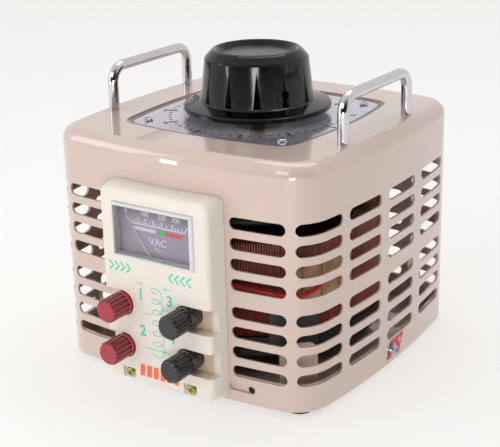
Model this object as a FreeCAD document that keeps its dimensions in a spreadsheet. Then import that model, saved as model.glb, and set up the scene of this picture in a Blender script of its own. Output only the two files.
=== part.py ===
import FreeCAD, Part
import math
import os
import Sketcher
from FreeCAD import Placement, Rotation, Vector

# Variable autotransformer (variac) on a bench-top housing, as a parametric FreeCAD document.
#
# Frame: origin on the standing surface under the middle of the housing, +Z up, the terminal
# panel on the -Y side, the right-hand handle on the +X side.  Millimetres and degrees.

DRIVING_SIZES = {
    # housing
    "half_width": 116, "side_corner": 107.5, "corner_radius": 28, "top_radius": 10,
    "deck_height": 180, "foot_height": 4.5, "sheet_thickness": 1.6,
    # ventilation slots
    "slot_height": 8.8, "slot_length": 41.6, "slot_pitch": 14.6,
    "slot_top_drop": 44, "slot_band_gap": 5.9, "low_slot_length": 20.5, "low_slot_height": 5.6,
    # dial plate and its recess in the deck
    "plate_half": 76.5, "plate_corner": 70, "plate_corner_radius": 14, "plate_thickness": 0.8,
    "recess_margin": 1.8, "recess_depth": 1.9, "plate_screw_offset": 58, "shaft_hole_radius": 7,
    # lifting handles
    "rod_radius": 4, "handle_offset": 99.5, "handle_leg_offset": 46.5, "handle_rise": 32,
    "handle_bend": 12,
    # knob
    "knob_gap": 3.8, "skirt_radius": 55, "skirt_edge": 4.1, "skirt_rise": 6.5, "grip_foot_radius": 42,
    "grip_top_radius": 38.6, "grip_height": 41.5, "knob_height": 48.5, "crown_radius": 32.4,
    "well_radius": 26.6, "well_depth": 5, "flute_count": 12, "flute_depth": 3.6, "flute_half_angle": 40,
    "set_screw_height": 20.3, "set_screw_turn": -27,
    "sleeve_radius": 5.5, "shaft_radius": 4,
    # terminal panel
    "panel_half_width": 45.5, "panel_base": 8, "panel_top": 151.5, "panel_front": 132,
    "panel_edge": 5, "panel_wall": 3, "panel_draft": 2.6, "pocket_depth": 9.5, "pocket_radius": 9.4,
    "post_offset": 27, "post_shift": 2.4, "upper_post_height": 67.5, "lower_post_height": 35.2,
    "window_half_width": 34.4, "window_half_height": 19.7, "window_centre": 122.8,
    "window_rise": 2.2, "needle_drop": 27.8, "needle_length": 40, "needle_rest_angle": 36,
    # binding posts
    "cap_radius": 8.7, "cap_length": 20.2, "collar_radius": 8.5, "collar_length": 8.6,
    "stud_radius": 3, "insert_radius": 5.2, "cap_flutes": 16, "running_gap": 0.3,
    # transformer
    "coil_outer": 94, "coil_inner": 36, "coil_base": 38.3, "coil_top": 112,
    "coil_skin": 4.5, "core_outer": 87.5, "core_inner": 43, "disc_radius": 93, "disc_base": 22,
    "clamp_radius": 46, "clamp_thickness": 2.5, "tie_circle": 28,
    "radiator_radius": 88, "radiator_height": 121, "radiator_thickness": 3,
    "brush_circle": 70, "bearing_gap": 0.05,
}

doc = FreeCAD.newDocument("variac")
sheet = doc.addObject("Spreadsheet::Sheet", "dims")


class Size:
    """A length that carries both its number and its formula over the sheet's cells."""

    def __init__(self, number, text):
        self.number = float(number)
        self.text = text

    def _join(self, other, sign, swap=False):
        other = size(other)
        left, right = (other, self) if swap else (self, other)
        number = {
            "+": left.number + right.number, "-": left.number - right.number,
            "*": left.number * right.number, "/": left.number / (right.number or 1),
        }[sign]
        return Size(number, f"({left.text} {sign} {right.text})")

    def __add__(self, other):
        return self._join(other, "+")

    def __radd__(self, other):
        return self._join(other, "+", True)

    def __sub__(self, other):
        return self._join(other, "-")

    def __rsub__(self, other):
        return self._join(other, "-", True)

    def __mul__(self, other):
        return self._join(other, "*")

    def __rmul__(self, other):
        return self._join(other, "*", True)

    def __truediv__(self, other):
        return self._join(other, "/")

    def __neg__(self):
        return 0 - self

    def __float__(self):
        return self.number


def size(value):
    return value if isinstance(value, Size) else Size(value, repr(float(value)))


class Cells:
    """Reads a driving size from the spreadsheet by its alias."""

    def __getattr__(self, alias):
        return Size(float(sheet.get(alias)), "dims." + alias)


def fill_sheet():
    for row, (alias, number) in enumerate(DRIVING_SIZES.items(), start=1):
        sheet.set(f"A{row}", alias.replace("_", " "))
        sheet.set(f"B{row}", str(number))
        sheet.setAlias(f"B{row}", alias)
    doc.recompute()


d = Cells()
NODES = []


# ---------------------------------------------------------------- general helpers

def bind(item, **formulas):
    for name, value in formulas.items():
        value = size(value)
        setattr(item, name, value.number)
        item.setExpression(name, value.text)
    return item


def put(item, x=0, y=0, z=0, turn=None):
    """Places an object; `turn` is (axis, degrees)."""
    axis, degrees = turn or ((0, 0, 1), 0)
    place = Vector(float(x), float(y), float(z))
    item.Placement = Placement(place, Rotation(Vector(*axis), degrees))
    for name, value in (("x", x), ("y", y), ("z", z)):
        item.setExpression("Placement.Base." + name, size(value).text)
    return item


def cylinder(name, radius, height, x=0, y=0, z=0, turn=None):
    item = doc.addObject("Part::Cylinder", name)
    return put(bind(item, Radius=radius, Height=height), x, y, z, turn)


def box(name, length, width, height, x=0, y=0, z=0, turn=None):
    """A box whose corner is at x, y, z."""
    item = doc.addObject("Part::Box", name)
    return put(bind(item, Length=length, Width=width, Height=height), x, y, z, turn)


def hexagon(name, across_corners, height, x=0, y=0, z=0, turn=None):
    item = doc.addObject("Part::Prism", name)
    item.Polygon = 6
    return put(bind(item, Circumradius=across_corners, Height=height), x, y, z, turn)


def fuse(name, parts):
    item = doc.addObject("Part::MultiFuse", name)
    item.Shapes = parts
    return item


def cut(name, base, tools):
    item = doc.addObject("Part::Cut", name)
    item.Base = base
    item.Tool = tools[0] if len(tools) == 1 else fuse(name + "_tools", tools)
    return item


def group(name, parts):
    item = doc.addObject("Part::Compound", name)
    item.Links = parts
    return item


def node(item, label):
    """Marks an object as one of the physical pieces."""
    item.Label = label
    NODES.append(item)
    return item


def sketch_in(body, name, plane):
    sketch = body.newObject("Sketcher::SketchObject", name)
    planes = [feature for feature in body.Origin.OriginFeatures if feature.Role == plane]
    sketch.AttachmentSupport = (planes[0], [""])
    sketch.MapMode = "FlatFace"
    return sketch


def hold(sketch, edge, end, x, y):
    """Fixes one end of an edge at two distances from the sketch's origin."""
    for axis, value in (("DistanceX", size(x)), ("DistanceY", size(y))):
        index = sketch.addConstraint(Sketcher.Constraint(axis, -1, 1, edge, end, value.number))
        sketch.setExpression(f"Constraints[{index}]", value.text)


def join_ends(sketch, first, second):
    sketch.addConstraint(Sketcher.Constraint("Coincident", first, 2, second, 1))


def set_radius(sketch, edge, radius):
    radius = size(radius)
    index = sketch.addConstraint(Sketcher.Constraint("Radius", edge, radius.number))
    sketch.setExpression(f"Constraints[{index}]", radius.text)


def outline(sketch, corners):
    """A closed outline of straight edges, added to a sketch."""
    start = sketch.GeometryCount
    points = [Vector(float(x), float(y), 0) for x, y in corners]
    count = len(points)
    for i in range(count):
        sketch.addGeometry(Part.LineSegment(points[i], points[(i + 1) % count]))
    for i in range(count):
        join_ends(sketch, start + i, start + (i + 1) % count)
    for i, (x, y) in enumerate(corners):
        hold(sketch, start + i, 1, x, y)


def rectangle(left, base, right, top):
    return [(left, base), (right, base), (right, top), (left, top)]


def revolve(name, profile, x=0, y=0, z=0, turn=None):
    """A turned piece: its profile is (radius, height) pairs about its own Z axis."""
    body = doc.addObject("PartDesign::Body", name)
    sketch = sketch_in(body, name + "_profile", "XZ_Plane")
    outline(sketch, profile)
    feature = body.newObject("PartDesign::Revolution", name + "_turned")
    feature.Profile = sketch
    feature.ReferenceAxis = (sketch, ["V_Axis"])
    feature.Angle = 360
    return put(body, x, y, z, turn)


def pad(body, sketch, name, length):
    feature = body.newObject("PartDesign::Pad", name)
    feature.Profile = sketch
    return bind(feature, Length=length)


def edges_where(shape, test):
    return [f"Edge{i + 1}" for i, edge in enumerate(shape.Edges) if test(edge)]


def fillet(body, base, name, edges, radius):
    feature = body.newObject("PartDesign::Fillet", name)
    feature.Base = (base, edges)
    bind(feature, Radius=radius)
    body.Tip = feature
    doc.recompute()
    return feature


def chamfer(body, base, name, edges, width):
    feature = body.newObject("PartDesign::Chamfer", name)
    feature.Base = (base, edges)
    bind(feature, Size=width)
    body.Tip = feature
    doc.recompute()
    return feature


def side_radius(half, corner):
    """Radius of a bulged side through its middle point and its two corners."""
    return (corner * corner + (half - corner) * (half - corner)) / (2 * (half - corner))


def bulged_square(name, half, corner, rounding, height, z=0, top_rounding=None):
    """A square block with outward-bowed sides, rounded corners and an optional rounded top."""
    half, corner = size(half), size(corner)
    body = doc.addObject("PartDesign::Body", name)
    sketch = sketch_in(body, name + "_plan", "XY_Plane")
    signs = [(-1, -1), (1, -1), (1, 1), (-1, 1)]
    middles = [(0, -1), (1, 0), (0, 1), (-1, 0)]
    for i, (mx, my) in enumerate(middles):
        (ax, ay), (bx, by) = signs[i], signs[(i + 1) % 4]
        sketch.addGeometry(Part.Arc(
            Vector(ax * corner.number, ay * corner.number, 0),
            Vector(mx * half.number, my * half.number, 0),
            Vector(bx * corner.number, by * corner.number, 0)))
    for i, (sx, sy) in enumerate(signs):
        join_ends(sketch, i, (i + 1) % 4)
        hold(sketch, i, 1, sx * corner, sy * corner)
        set_radius(sketch, i, side_radius(half, corner))
    block = pad(body, sketch, name + "_pad", height)
    doc.recompute()
    tall = float(height) * 0.9
    uprights = edges_where(block.Shape, lambda edge: edge.BoundBox.ZLength > tall)
    rounded = fillet(body, block, name + "_corners", uprights, rounding)
    if top_rounding is not None:
        top = float(height)
        edges = edges_where(rounded.Shape, lambda edge: edge.BoundBox.ZMin > top - 1e-6)
        fillet(body, rounded, name + "_rim", edges, top_rounding)
    return put(body, z=z)


# ---------------------------------------------------------------- housing

def side_arc_point(run):
    """Point and outward direction at a distance `run` along the housing's outline from the
    middle of the front face towards the right."""
    half, corner, rounding = (float(v) for v in (d.half_width, d.side_corner, d.corner_radius))
    radius = float(side_radius(d.half_width, d.side_corner))
    offset = radius - half
    inner = radius - rounding
    centre = (math.sqrt(2 * inner ** 2 - offset ** 2) - offset) / 2
    sweep = math.asin(centre / inner)
    face_run = radius * sweep
    corner_run = rounding * (math.pi / 2 - 2 * sweep)
    quarter = 2 * face_run + corner_run
    turns, rest = divmod(run + face_run, quarter)
    if rest <= 2 * face_run:
        angle = rest / radius - sweep
        point = Vector(radius * math.sin(angle), offset - radius * math.cos(angle), 0)
    else:
        angle = sweep + (rest - 2 * face_run) / rounding
        point = Vector(centre + rounding * math.sin(angle), -centre - rounding * math.cos(angle), 0)
    outward = Vector(math.sin(angle), -math.cos(angle), 0)
    turn = Rotation(Vector(0, 0, 1), 90 * turns)
    return turn.multVec(point), turn.multVec(outward)


def slot_cutter(first, last, height, z):
    """A stadium-shaped bar through the wall between two points of the outline."""
    reach = 14.0
    chord = last - first
    length = chord.Length
    radius = height / 2
    start, end = radius, length - radius
    low, high = -radius, radius
    lower = Part.LineSegment(Vector(start, -reach, low), Vector(end, -reach, low))
    right = Part.Arc(Vector(end, -reach, low), Vector(length, -reach, 0), Vector(end, -reach, high))
    upper = Part.LineSegment(Vector(end, -reach, high), Vector(start, -reach, high))
    left = Part.Arc(Vector(start, -reach, high), Vector(0, -reach, 0), Vector(start, -reach, low))
    wire = Part.Wire([piece.toShape() for piece in (lower, right, upper, left)])
    bar = Part.Face(wire).extrude(Vector(0, 2 * reach, 0))
    turn = math.degrees(math.atan2(chord.y, chord.x))
    bar.Placement = Placement(Vector(first.x, first.y, z), Rotation(Vector(0, 0, 1), turn))
    return bar


def slot_heights():
    top = float(d.deck_height - d.slot_top_drop)
    pitch, gap = float(d.slot_pitch), float(d.slot_band_gap)
    return [top - row * pitch - (gap if row > 3 else 0) for row in range(8)]


SLOT_MIDDLES = (71.8, 119.8, 169.2, 220.8, 274, 325, 375)


def slot_bars():
    """All ventilation slots: seven columns on each side of the panel, eight rows each."""
    length, height = float(d.slot_length), float(d.slot_height)
    bars = []
    for middle in SLOT_MIDDLES:
        for side in (1, -1):
            ends = [side_arc_point(side * middle + sign * length / 2)[0] for sign in (-1, 1)]
            bars += [slot_cutter(ends[0], ends[1], height, z) for z in slot_heights()]
    low_height = slot_heights()[-1] - 12.6
    for side in (1, -1):
        run = side * (57.8)
        half_length = float(d.low_slot_length) / 2
        ends = [side_arc_point(run + sign * half_length)[0] for sign in (-1, 1)]
        bars.append(slot_cutter(ends[0], ends[1], float(d.low_slot_height), low_height))
    feature = doc.addObject("Part::Feature", "slot_bars")
    feature.Shape = Part.makeCompound(bars)
    return feature


def cover():
    tall = d.deck_height - d.foot_height
    outer = bulged_square("cover_outside", d.half_width, d.side_corner, d.corner_radius,
                          tall, d.foot_height, d.top_radius)
    skin = d.sheet_thickness
    inner = bulged_square("cover_inside", d.half_width - skin, d.side_corner - skin * 0.86,
                          d.corner_radius - skin, tall - skin, d.foot_height, d.top_radius - skin)
    dish = bulged_square("dish_underside", d.plate_half + 5, d.plate_corner + 5, d.plate_corner_radius + 5,
                         d.recess_depth + 1, d.deck_height - skin - d.recess_depth)
    hollow = cut("cover_hollow", inner, [dish])
    margin = d.recess_margin
    recess = bulged_square("deck_recess", d.plate_half + margin, d.plate_corner + margin,
                           d.plate_corner_radius + margin, d.recess_depth + 1,
                           d.deck_height - d.recess_depth)
    opening = box("panel_opening", 84, 30, 138, -42, -d.half_width - 5, 10)
    tools = [hollow, recess, opening, slot_bars()]
    below_deck = d.deck_height - 10
    tools.append(cylinder("deck_shaft_hole", d.shaft_hole_radius, 20, z=below_deck))
    for i, (sx, sy) in enumerate(((-1, -1), (1, -1), (1, 1), (-1, 1))):
        tools.append(cylinder(f"handle_hole_{i}", 2.7, 20, sx * d.handle_offset,
                              sy * d.handle_leg_offset, below_deck))
        tools.append(cylinder(f"plate_hole_{i}", 1.7, 20, sx * d.plate_screw_offset,
                              sy * d.plate_screw_offset, below_deck))
    tools.append(cylinder("ground_hole", 2.2, 20, d.half_width - 10, -2.5, 14, ((0, 1, 0), 90)))
    return node(cut("cover_shell", outer, tools), "cover")


def base_pan():
    """The floor of the housing: a shallow tray inside the foot of the cover."""
    gap = d.sheet_thickness + 0.3
    tray = bulged_square("pan_outside", d.half_width - gap, d.side_corner - gap * 0.86,
                         d.corner_radius - gap, 19.5, d.foot_height)
    skin = size(1.5)
    inner_gap = gap + skin
    inside = bulged_square("pan_inside", d.half_width - inner_gap, d.side_corner - inner_gap * 0.86,
                           d.corner_radius - inner_gap, 30, d.foot_height + skin)
    tools = [inside]
    for i, (x, y) in enumerate(FOOT_PLACES):
        tools.append(cylinder(f"foot_hole_{i}", 2.1, 10, x, y, 0))
    tools.append(cylinder("pan_ground_hole", 2.2, 20, d.half_width - 12, -2.5, 14, ((0, 1, 0), 90)))
    notch = box("pan_front_notch", 84, 30, 30, -42, -d.half_width - 5, d.foot_height + 5)
    tools.append(notch)
    return node(cut("pan", tray, tools), "base_pan")


FOOT_PLACES = [(-91, -92), (91, -92), (91, 92), (-91, 92)]


def rubber_feet():
    """Four screwed feet at the corners and a plain pad under the heavy middle."""
    feet = [revolve("centre_pad", [(0, 0), (13, 0), (14, d.foot_height), (0, d.foot_height)])]
    for i, (x, y) in enumerate(FOOT_PLACES):
        foot = revolve(f"foot_{i}", [(2.4, 1.8), (4.6, 1.8), (4.6, 0), (9.6, 0), (10.4, d.foot_height),
                                     (2.4, d.foot_height)], x, y)
        feet.append(foot)
    return node(group("feet", feet), "rubber_feet")


def foot_screws():
    screws = []
    for i, (x, y) in enumerate(FOOT_PLACES):
        screws.append(revolve(f"foot_screw_{i}", [(0, 0.4), (3.6, 0.4), (4.2, 1.7), (2.0, 1.7),
                                                  (2.0, 11), (0, 11)], x, y))
    return node(group("foot_screw_set", screws), "foot_screws")


def corner_brackets():
    """Upright tabs with rounded tops, one in each corner of the tray."""
    brackets = []
    floor = d.foot_height + 1.5
    reach = size(124)
    for i, degrees in enumerate((-135, -45, 45, 135)):
        body = doc.addObject("PartDesign::Body", f"bracket_{i}")
        sketch = sketch_in(body, f"bracket_face_{i}", "YZ_Plane")
        outline(sketch, rectangle(-13.5, 0, 13.5, 41))
        sheet_pad = pad(body, sketch, f"bracket_pad_{i}", 1.5)
        doc.recompute()
        top_corners = edges_where(sheet_pad.Shape, lambda edge: edge.BoundBox.ZMin > 40.9
                                  and edge.BoundBox.YLength < 0.01)
        fillet(body, sheet_pad, f"bracket_round_{i}", top_corners, 7)
        angle = math.radians(degrees)
        put(body, reach * math.cos(angle), reach * math.sin(angle), floor, ((0, 0, 1), degrees))
        brackets.append(body)
    return node(group("bracket_set", brackets), "corner_brackets")


def cross_recess(name, top, reach, x=0, y=0, z=0):
    """Two crossed bars that form a screw's drive recess."""
    bars = []
    for i, (length, width) in enumerate(((reach, 0.9), (0.9, reach))):
        bars.append(box(f"{name}_bar_{i}", length, width, 3, x - length / 2, y - width / 2, z + top))
    return bars


def cross_screw(name, head_radius, head_height, shank_radius, shank_length, turn, x, y, z):
    """A pan-head cross-recess screw whose head sits on its own z = 0 plane."""
    rim = head_radius * 0.55
    profile = [(0, -shank_length), (shank_radius, -shank_length), (shank_radius, 0), (head_radius, 0),
               (head_radius, head_height * 0.35), (rim + head_radius * 0.2, head_height * 0.85),
               (rim, head_height), (0, head_height)]
    blank = revolve(name + "_blank", profile)
    bars = cross_recess(name, head_height * 0.45, head_radius * 1.1)
    screw = cut(name, blank, bars)
    return put(screw, x, y, z, turn)


def dial_plate():
    plate = bulged_square("plate_blank", d.plate_half, d.plate_corner, d.plate_corner_radius,
                          d.plate_thickness, d.deck_height - d.recess_depth)
    tools = [cylinder("plate_bore", d.shaft_hole_radius, 20, z=d.deck_height - 10)]
    for i, (sx, sy) in enumerate(((-1, -1), (1, -1), (1, 1), (-1, 1))):
        tools.append(cylinder(f"plate_bore_{i}", 1.7, 20, sx * d.plate_screw_offset,
                              sy * d.plate_screw_offset, d.deck_height - 10))
    return node(cut("plate", plate, tools), "dial_plate")


def dial_plate_screws():
    top = d.deck_height - d.recess_depth + d.plate_thickness
    screws = []
    for i, (sx, sy) in enumerate(((-1, -1), (1, -1), (1, 1), (-1, 1))):
        screws.append(cross_screw(f"plate_screw_{i}", 3.4, 2.2, 1.6, 7, ((0, 0, 1), 20 + 35 * i),
                                  sx * d.plate_screw_offset, sy * d.plate_screw_offset, top))
    return node(group("plate_screw_set", screws), "dial_plate_screws")


def handle(side, label):
    """A bent rod: two legs on the deck joined by a bar that runs front to back."""
    body = doc.addObject("PartDesign::Body", label + "_rod")
    path = sketch_in(body, label + "_path", "YZ_Plane")
    leg, rise, bend = d.handle_leg_offset, d.handle_rise, d.handle_bend
    low = size(0)
    diagonal = float(bend) * math.sqrt(0.5)
    top_y, top_z = float(leg) - float(bend), float(rise) - float(bend)
    path.addGeometry(Part.LineSegment(Vector(-float(leg), 0, 0), Vector(-float(leg), top_z, 0)))
    path.addGeometry(Part.Arc(Vector(-float(leg), top_z, 0),
                              Vector(-top_y - diagonal, top_z + diagonal, 0),
                              Vector(-top_y, float(rise), 0)))
    path.addGeometry(Part.LineSegment(Vector(-top_y, float(rise), 0), Vector(top_y, float(rise), 0)))
    path.addGeometry(Part.Arc(Vector(top_y, float(rise), 0),
                              Vector(top_y + diagonal, top_z + diagonal, 0),
                              Vector(float(leg), top_z, 0)))
    path.addGeometry(Part.LineSegment(Vector(float(leg), top_z, 0), Vector(float(leg), 0, 0)))
    path.addConstraint(Sketcher.Constraint("Coincident", 0, 2, 1, 2))
    path.addConstraint(Sketcher.Constraint("Coincident", 1, 1, 2, 1))
    path.addConstraint(Sketcher.Constraint("Coincident", 2, 2, 3, 2))
    path.addConstraint(Sketcher.Constraint("Coincident", 3, 1, 4, 1))
    hold(path, 0, 1, -leg, low)
    hold(path, 0, 2, -leg, rise - bend)
    hold(path, 2, 1, bend - leg, rise)
    hold(path, 2, 2, leg - bend, rise)
    hold(path, 4, 1, leg, rise - bend)
    hold(path, 4, 2, leg, low)
    set_radius(path, 1, bend)
    set_radius(path, 3, bend)
    section = sketch_in(body, label + "_section", "XY_Plane")
    section.addGeometry(Part.Circle(Vector(0, -float(leg), 0), Vector(0, 0, 1), float(d.rod_radius)))
    section.addConstraint(Sketcher.Constraint("PointOnObject", 0, 3, -2))
    index = section.addConstraint(Sketcher.Constraint("DistanceY", -1, 1, 0, 3, -float(leg)))
    section.setExpression(f"Constraints[{index}]", (-leg).text)
    set_radius(section, 0, d.rod_radius)
    pipe = body.newObject("PartDesign::AdditivePipe", label + "_bent")
    pipe.Profile = section
    pipe.Spine = path
    doc.recompute()
    put(body, side * d.handle_offset, 0, d.deck_height)
    bores = [cylinder(f"{label}_bore_{i}", 2.4, 12, side * d.handle_offset,
                      sign * leg, d.deck_height - 1) for i, sign in enumerate((-1, 1))]
    return node(cut(label + "_tapped", body, bores), label)


def handle_screws():
    """Screws with washers under the deck that hold the handles' legs."""
    screws, washers = [], []
    under = d.deck_height - d.sheet_thickness
    for i, (sx, sy) in enumerate(((-1, -1), (1, -1), (1, 1), (-1, 1))):
        x, y = sx * d.handle_offset, sy * d.handle_leg_offset
        screws.append(revolve(f"handle_screw_{i}", [(0, -4.6), (4.2, -4.6), (4.2, -1.2), (2.4, -1.2),
                                                    (2.4, 11), (0, 11)], x, y, under))
        washers.append(revolve(f"handle_washer_{i}", [(2.7, -1.2), (5.5, -1.2), (5.5, 0), (2.7, 0)],
                               x, y, under))
    node(group("handle_washer_set", washers), "handle_washers")
    return node(group("handle_screw_set", screws), "handle_screws")


def ground_terminal():
    """Earth screw with its washer on the right side, and the small label beside it."""
    face = d.half_width
    screw = cross_screw("ground_bolt", 4.2, 2.6, 2.0, 12, ((0, 1, 0), 90), face + 1.2, -2.5, 14)
    washer = revolve("ground_ring", [(2.2, 0), (5, 0), (5, 1.2), (2.2, 1.2)], face, -2.5, 14,
                     ((0, 1, 0), 90))
    body = doc.addObject("PartDesign::Body", "label_sheet")
    sketch = sketch_in(body, "label_face", "YZ_Plane")
    outline(sketch, [(-17, -9.5), (2, -9.5), (9, 4.5), (-12, 4.5)])
    pad(body, sketch, "label_pad", 2)
    put(body, face - 1.8, 6.5, 17.5)
    sweep = side_radius(d.half_width, d.side_corner)
    wall = cylinder("label_wall", sweep + 0.02, 60, face - sweep, 0, -5)
    node(screw, "ground_screw")
    node(washer, "ground_washer")
    hole = cylinder("label_hole", 5.3, 4, face - 2, -2.5, 14, ((0, 1, 0), 90))
    node(cut("label_trimmed", body, [wall, hole]), "ground_label")


def cover_screws():
    """Self-tapping screws that join the foot of the cover to the tray."""
    screws = []
    height = slot_heights()[-1] - 12.6
    for i, side in enumerate((1, -1)):
        point, outward = side_arc_point(side * 65.0)
        angle = math.degrees(math.atan2(outward.y, outward.x))
        screw = cross_screw(f"cover_screw_{i}", 2.6, 1.4, 1.4, 6, None, 0, 0, 0)
        screw.setExpression("Placement.Base.x", None)
        screw.setExpression("Placement.Base.y", None)
        screw.setExpression("Placement.Base.z", None)
        base = point - outward * (float(d.sheet_thickness) + 0.1)
        lay = Rotation(Vector(0, 0, 1), angle) * Rotation(Vector(0, 1, 0), 90)
        screw.Placement = Placement(Vector(base.x, base.y, height), lay)
        screws.append(screw)
    return node(group("cover_screw_set", screws), "cover_screws")


# ---------------------------------------------------------------- knob and shaft

def knob_body():
    """The moulded knob: a conical skirt and a tapered grip with a ring of V flutes."""
    base = d.deck_height + d.knob_gap
    top = d.knob_height - d.knob_gap
    shoulder = d.grip_height - d.knob_gap
    floor = top - d.well_depth
    profile = [
        (d.sleeve_radius, 3), (20, 3), (36, 1.5), (d.skirt_radius - 2, 0),
        (d.skirt_radius, 0.8), (d.skirt_radius, d.skirt_edge - 0.7), (d.skirt_radius - 0.8, d.skirt_edge),
        (d.grip_foot_radius + 1.2, d.skirt_rise), (d.grip_foot_radius, d.skirt_rise + 1),
        (d.grip_top_radius, shoulder), (d.grip_top_radius - 0.9, shoulder + 1.4),
        (d.crown_radius + 1.4, top - 1.4), (d.crown_radius, top - 0.4),
        (d.crown_radius - 1.4, top), (d.crown_radius - 2.8, top - 0.5),
        (d.well_radius, floor + 0.8), (d.well_radius, floor), (d.sleeve_radius, floor)]
    blank = revolve("knob_blank", profile, z=base)
    count = int(float(d.flute_count))
    step = 360.0 / count
    tools = [flute_bar(i, float(d.set_screw_turn) + step * i) for i in range(count)]
    tools.append(radial_bore("set_screw_hole", 2.9, 60))
    return node(cut("knob_fluted", blank, tools), "knob")


def flute_bar(index, degrees):
    """A wedge whose edge leaves the grip's surface at the shoulder and is deepest at its foot."""
    foot = d.deck_height + d.knob_gap + d.skirt_rise + 1.2
    rise = d.grip_height - d.knob_gap - d.skirt_rise - 1.2
    root = d.grip_foot_radius - d.flute_depth
    lean = math.degrees(math.atan2(float(d.grip_top_radius + 0.4 - root), float(rise)))
    body = doc.addObject("PartDesign::Body", f"flute_{index}")
    section = sketch_in(body, f"flute_section_{index}", "XY_Plane")
    spread = 12 * math.tan(math.radians(float(d.flute_half_angle)))
    outline(section, [(0, 0), (12, -spread), (12, spread)])
    pad(body, section, f"flute_pad_{index}", rise + 1)
    around = Rotation(Vector(0, 0, 1), degrees)
    start = around.multVec(Vector(float(root), 0, 0))
    body.Placement = Placement(start, around * Rotation(Vector(0, 1, 0), lean))
    body.setExpression("Placement.Base.z", foot.text)
    body.Placement.Base = Vector(start.x, start.y, float(foot))
    return body


def radial_bore(name, radius, length):
    """A bar from the knob's axis outwards, level with its set screw."""
    bar = doc.addObject("Part::Cylinder", name)
    bind(bar, Radius=radius, Height=length)
    bar.Placement = Placement(Vector(0, 0, float(d.deck_height + d.set_screw_height)), across_knob())
    bar.setExpression("Placement.Base.z", (d.deck_height + d.set_screw_height).text)
    return bar


def across_knob():
    return Rotation(Vector(0, 0, 1), float(d.set_screw_turn)) * Rotation(Vector(0, 1, 0), 90)


def knob_fittings():
    floor = d.deck_height + d.knob_height - d.well_depth
    node(revolve("well_disc", [(0, 0), (d.well_radius - 0.4, 0), (d.well_radius - 0.7, 1.2), (0, 1.2)],
                 z=floor), "knob_top_disc")
    sleeve = revolve("sleeve", [(d.shaft_radius, 0), (d.sleeve_radius, 0), (d.sleeve_radius, 38),
                                (d.shaft_radius, 38)], z=d.deck_height - 4)
    node(cut("sleeve_tapped", sleeve, [radial_bore("sleeve_bore", 2.1, 30)]), "knob_sleeve")
    screw = revolve("grub", [(0, 4), (2.1, 4), (2.1, 16), (1.0, 16), (1.0, 13.5), (0, 13.5)])
    for axis in "xy":
        screw.setExpression("Placement.Base." + axis, None)
    screw.Placement = Placement(Vector(0, 0, float(d.deck_height + d.set_screw_height)), across_knob())
    screw.setExpression("Placement.Base.z", (d.deck_height + d.set_screw_height).text)
    node(screw, "knob_set_screw")


def shaft():
    node(cylinder("main_shaft", d.shaft_radius, d.deck_height - 8, 0, 0, 40), "shaft")


# ---------------------------------------------------------------- transformer

def ring(name, inner, outer, low, high, edge=None):
    """A turned ring of rectangular section, with bevelled edges if asked."""
    if edge is None:
        profile = rectangle(inner, low, outer, high)
    else:
        profile = [(inner + edge, low), (outer - edge, low), (outer, low + edge), (outer, high - edge),
                   (outer - edge, high), (inner + edge, high), (inner, high - edge), (inner, low + edge)]
    return revolve(name, profile)


def winding():
    skin = d.coil_skin
    outer = ring("coil_outside", d.coil_inner, d.coil_outer, d.coil_base, d.coil_top, size(2.5))
    inner = ring("coil_hollow", d.coil_inner + skin, d.coil_outer - skin, d.coil_base + skin,
                 d.coil_top - skin)
    return node(cut("coil", outer, [inner]), "winding")


def core():
    skin = d.coil_skin
    node(ring("core_ring", d.core_inner, d.core_outer, d.coil_base + skin + 2,
              d.coil_top - skin - 2), "toroid_core")
    wrap = ring("wrap_outside", d.coil_inner + skin + 0.1, d.coil_outer - skin - 0.1,
                d.coil_base + skin + 0.1, d.coil_top - skin - 0.1)
    hollow = ring("wrap_hollow", d.core_inner, d.core_outer, d.coil_base + skin + 2,
                  d.coil_top - skin - 2)
    node(cut("core_wrap_ring", wrap, [hollow]), "core_insulation")


def coil_arc_sheet(name, label, start, end, low, high, inner, thickness):
    """A curved sheet laid against the outside of the winding between two angles."""
    tube = doc.addObject("Part::Cylinder", name + "_outside")
    bind(tube, Radius=inner + thickness, Height=high - low)
    tube.Angle = end - start
    put(tube, 0, 0, low, ((0, 0, 1), start))
    bore = cylinder(name + "_inside", inner, high - low + 2, 0, 0, low - 1)
    return node(cut(name, tube, [bore]), label)


def base_disc():
    """Black moulded disc under the winding, with a boss that carries the lower bush."""
    low, high = d.disc_base, d.coil_base - 0.3
    profile = [(7, low), (d.disc_radius - 2, low), (d.disc_radius, low + 2), (d.disc_radius, high),
               (20, high), (20, 60), (7, 60)]
    blank = revolve("disc_blank", profile)
    tools = tie_holes("disc", 3.2, 60)
    for i, (x, y) in enumerate(STANDOFF_PLACES):
        tools.append(cylinder(f"disc_fix_{i}", 2.1, 40, x, y, 10))
    return node(cut("disc_drilled", blank, tools), "base_disc")


STANDOFF_PLACES = [(55, 55), (-55, 55), (-55, -55), (55, -55)]


def tie_holes(name, radius, height):
    holes = []
    for i in range(3):
        angle = math.radians(90 + 120 * i)
        holes.append(cylinder(f"{name}_tie_{i}", radius, height, d.tie_circle * math.cos(angle),
                              d.tie_circle * math.sin(angle), 0))
    return holes


def standoffs():
    """Posts between the tray and the moulded disc, each with a spigot that enters the disc."""
    posts = []
    floor = d.foot_height + 1.5
    low = d.disc_base
    for i, (x, y) in enumerate(STANDOFF_PLACES):
        posts.append(revolve(f"standoff_{i}", [(0, floor), (6, floor), (6, low), (2.05, low),
                                               (2.05, low + 8), (0, low + 8)], x, y))
    return node(group("standoff_set", posts), "base_standoffs")


def top_clamp():
    low = d.coil_top + 0.2
    high = low + d.clamp_thickness
    blank = ring("clamp_blank", 7, d.clamp_radius, low, high, size(1))
    holes = tie_holes("clamp", 3.2, 130)
    pin_hole = cylinder("stop_hole", 2.5, 30, 40, 0, d.coil_top - 10)
    return node(cut("clamp", blank, holes + [pin_hole]), "top_clamp")


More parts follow.
